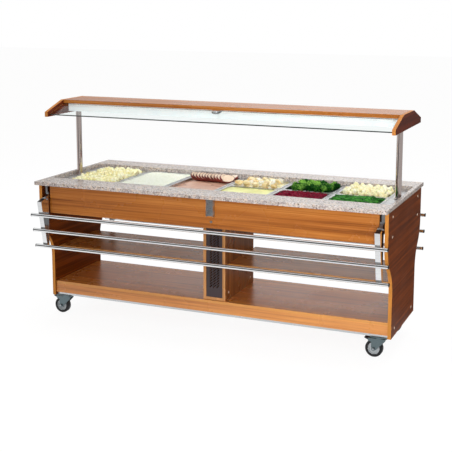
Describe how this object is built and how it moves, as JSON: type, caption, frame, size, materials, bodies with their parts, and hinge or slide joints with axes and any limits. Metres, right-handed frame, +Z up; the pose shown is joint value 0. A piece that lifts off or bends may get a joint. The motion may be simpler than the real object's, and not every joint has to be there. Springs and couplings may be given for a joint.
{
  "type": "heated buffet cart",
  "caption": "Rolling heated buffet counter with drop-in food wells, lift-out pans, a glazed light canopy on posts, folding tray slides, open shelves and swivel castors.",
  "frame": {"origin": "on the floor under the middle of the cart", "axes": "+X along the counter to the guests' right, +Y from the guests' side to the staff side, +Z up"},
  "size_m": [2.22, 0.9562, 1.358],
  "materials": {
    "laminate_dark": "satin wood-grain laminate, walnut tone",
    "laminate": "satin wood-grain laminate, cherry tone",
    "granite": "polished speckled granite",
    "stainless": "brushed stainless steel",
    "pan_steel": "drawn stainless steel",
    "dark_sheet": "dark brown powder coat",
    "light_white": "white powder coat",
    "diffuser": "opal acrylic",
    "glass": "clear float glass with green edges",
    "zinc": "bright zinc plate",
    "tyre": "black rubber tread",
    "rim": "moulded grey nylon",
    "black_plastic": "moulded black plastic",
    "cover_plastic": "beige plastic",
    "heater_steel": "heat-darkened stainless tube",
    "brass": "plain brass"
  },
  "bodies": {
    "cart": {"base_fascias": "laminate", "base_frame": "stainless", "base_shelf": "laminate", "canopy_end_left": "laminate", "canopy_end_right": "laminate", "canopy_glass": "glass", "canopy_roof": "laminate", "castor_plates": "zinc", "column_boards": "laminate", "column_grille": "dark_sheet", "column_rear_cover": "dark_sheet", "counter_slab": "granite", "drain_valve": "brass", "front_apron": "laminate", "glass_clips": "stainless", "heating_element": "heater_steel", "light_diffuser": "diffuser", "light_housing": "light_white", "post_left": "stainless", "post_right": "stainless", "rear_apron": "laminate", "screw_covers": "cover_plastic", "shelf_left": "laminate", "shelf_right": "laminate", "side_panel_left": "laminate_dark", "side_panel_right": "laminate_dark", "tray_brackets": "stainless", "well_deck": "stainless", "well_tank": "stainless"},
    "castor_front_left": {"castor_fork_front_left": "zinc"},
    "wheel_front_left": {"castor_tyre_front_left": "tyre", "castor_rim_front_left": "rim"},
    "pedal_front_left": {"brake_pedal_front_left": "black_plastic"},
    "castor_front_right": {"castor_fork_front_right": "zinc"},
    "wheel_front_right": {"castor_tyre_front_right": "tyre", "castor_rim_front_right": "rim"},
    "pedal_front_right": {"brake_pedal_front_right": "black_plastic"},
    "castor_rear_left": {"castor_fork_rear_left": "zinc"},
    "wheel_rear_left": {"castor_tyre_rear_left": "tyre", "castor_rim_rear_left": "rim"},
    "castor_rear_right": {"castor_fork_rear_right": "zinc"},
    "wheel_rear_right": {"castor_tyre_rear_right": "tyre", "castor_rim_rear_right": "rim"},
    "tray_slide_front": {"tray_slide_front": "stainless", "tray_slide_front_plugs": "black_plastic"},
    "tray_slide_rear": {"tray_slide_rear": "stainless", "tray_slide_rear_plugs": "black_plastic"},
    "pan_1_body": {"pan_1": "pan_steel"},
    "pan_2_body": {"pan_2": "pan_steel"},
    "pan_3_body": {"pan_3": "pan_steel"},
    "pan_4_front_body": {"pan_4_front": "pan_steel"},
    "pan_4_rear_body": {"pan_4_rear": "pan_steel"},
    "pan_5_front_body": {"pan_5_front": "pan_steel"},
    "pan_5_rear_body": {"pan_5_rear": "pan_steel"},
    "pan_6_front_body": {"pan_6_front": "pan_steel"},
    "pan_6_rear_body": {"pan_6_rear": "pan_steel"},
    "knob": {"thermostat_knob": "black_plastic"},
    "main_switch_rocker": {"main_switch": "black_plastic"},
    "light_switch_rocker": {"light_switch": "black_plastic"},
    "drain_handle": {"drain_lever": "black_plastic"}
  },
  "joints": [
    {"name": "castor_swivel_front_left", "type": "hinge", "parent": "cart", "child": "castor_front_left", "pos_m": [-1.021, -0.226, 0.125], "axis": [0, 0, 1], "continuous": true},
    {"name": "wheel_roll_front_left", "type": "hinge", "parent": "castor_front_left", "child": "wheel_front_left", "pos_m": [-1.056, -0.226, 0.05], "axis": [0, 1, 0], "continuous": true},
    {"name": "brake_front_left", "type": "hinge", "parent": "castor_front_left", "child": "pedal_front_left", "pos_m": [-1.083, -0.226, 0.101], "axis": [0, -1, 0], "range_deg": [0, 20]},
    {"name": "castor_swivel_front_right", "type": "hinge", "parent": "cart", "child": "castor_front_right", "pos_m": [1.021, -0.226, 0.125], "axis": [0, 0, 1], "continuous": true},
    {"name": "wheel_roll_front_right", "type": "hinge", "parent": "castor_front_right", "child": "wheel_front_right", "pos_m": [0.986, -0.226, 0.05], "axis": [0, 1, 0], "continuous": true},
    {"name": "brake_front_right", "type": "hinge", "parent": "castor_front_right", "child": "pedal_front_right", "pos_m": [0.959, -0.226, 0.101], "axis": [0, -1, 0], "range_deg": [0, 20]},
    {"name": "castor_swivel_rear_left", "type": "hinge", "parent": "cart", "child": "castor_rear_left", "pos_m": [-1.021, 0.226, 0.125], "axis": [0, 0, 1], "continuous": true},
    {"name": "wheel_roll_rear_left", "type": "hinge", "parent": "castor_rear_left", "child": "wheel_rear_left", "pos_m": [-1.056, 0.226, 0.05], "axis": [0, 1, 0], "continuous": true},
    {"name": "castor_swivel_rear_right", "type": "hinge", "parent": "cart", "child": "castor_rear_right", "pos_m": [1.021, 0.226, 0.125], "axis": [0, 0, 1], "continuous": true},
    {"name": "wheel_roll_rear_right", "type": "hinge", "parent": "castor_rear_right", "child": "wheel_rear_right", "pos_m": [0.986, 0.226, 0.05], "axis": [0, 1, 0], "continuous": true},
    {"name": "tray_slide_front_fold", "type": "hinge", "parent": "cart", "child": "tray_slide_front", "pos_m": [0, -0.404, 0.773], "axis": [-1, 0, 0], "range_deg": [0, 101]},
    {"name": "tray_slide_rear_fold", "type": "hinge", "parent": "cart", "child": "tray_slide_rear", "pos_m": [0, 0.404, 0.773], "axis": [1, 0, 0], "range_deg": [0, 101]},
    {"name": "pan_1_lift", "type": "slide", "parent": "cart", "child": "pan_1_body", "axis": [0, 0, 1], "range_m": [0, 0.15]},
    {"name": "pan_2_lift", "type": "slide", "parent": "cart", "child": "pan_2_body", "axis": [0, 0, 1], "range_m": [0, 0.15]},
    {"name": "pan_3_lift", "type": "slide", "parent": "cart", "child": "pan_3_body", "axis": [0, 0, 1], "range_m": [0, 0.15]},
    {"name": "pan_4_front_lift", "type": "slide", "parent": "cart", "child": "pan_4_front_body", "axis": [0, 0, 1], "range_m": [0, 0.15]},
    {"name": "pan_4_rear_lift", "type": "slide", "parent": "cart", "child": "pan_4_rear_body", "axis": [0, 0, 1], "range_m": [0, 0.15]},
    {"name": "pan_5_front_lift", "type": "slide", "parent": "cart", "child": "pan_5_front_body", "axis": [0, 0, 1], "range_m": [0, 0.15]},
    {"name": "pan_5_rear_lift", "type": "slide", "parent": "cart", "child": "pan_5_rear_body", "axis": [0, 0, 1], "range_m": [0, 0.15]},
    {"name": "pan_6_front_lift", "type": "slide", "parent": "cart", "child": "pan_6_front_body", "axis": [0, 0, 1], "range_m": [0, 0.15]},
    {"name": "pan_6_rear_lift", "type": "slide", "parent": "cart", "child": "pan_6_rear_body", "axis": [0, 0, 1], "range_m": [0, 0.15]},
    {"name": "thermostat_turn", "type": "hinge", "parent": "cart", "child": "knob", "pos_m": [0.0205, 0.19, 0.58], "axis": [0, 1, 0], "range_deg": [0, 270]},
    {"name": "main_switch_rock", "type": "hinge", "parent": "cart", "child": "main_switch_rocker", "pos_m": [0.0205, 0.1876, 0.5], "axis": [1, 0, 0], "range_deg": [-16, 0]},
    {"name": "light_switch_rock", "type": "hinge", "parent": "cart", "child": "light_switch_rocker", "pos_m": [0.0205, 0.1876, 0.44], "axis": [1, 0, 0], "range_deg": [-16, 0]},
    {"name": "drain_turn", "type": "hinge", "parent": "cart", "child": "drain_handle", "pos_m": [0.0205, 0.2073, 0.3225], "axis": [0, 0, 1], "range_deg": [0, 90]}
  ]
}
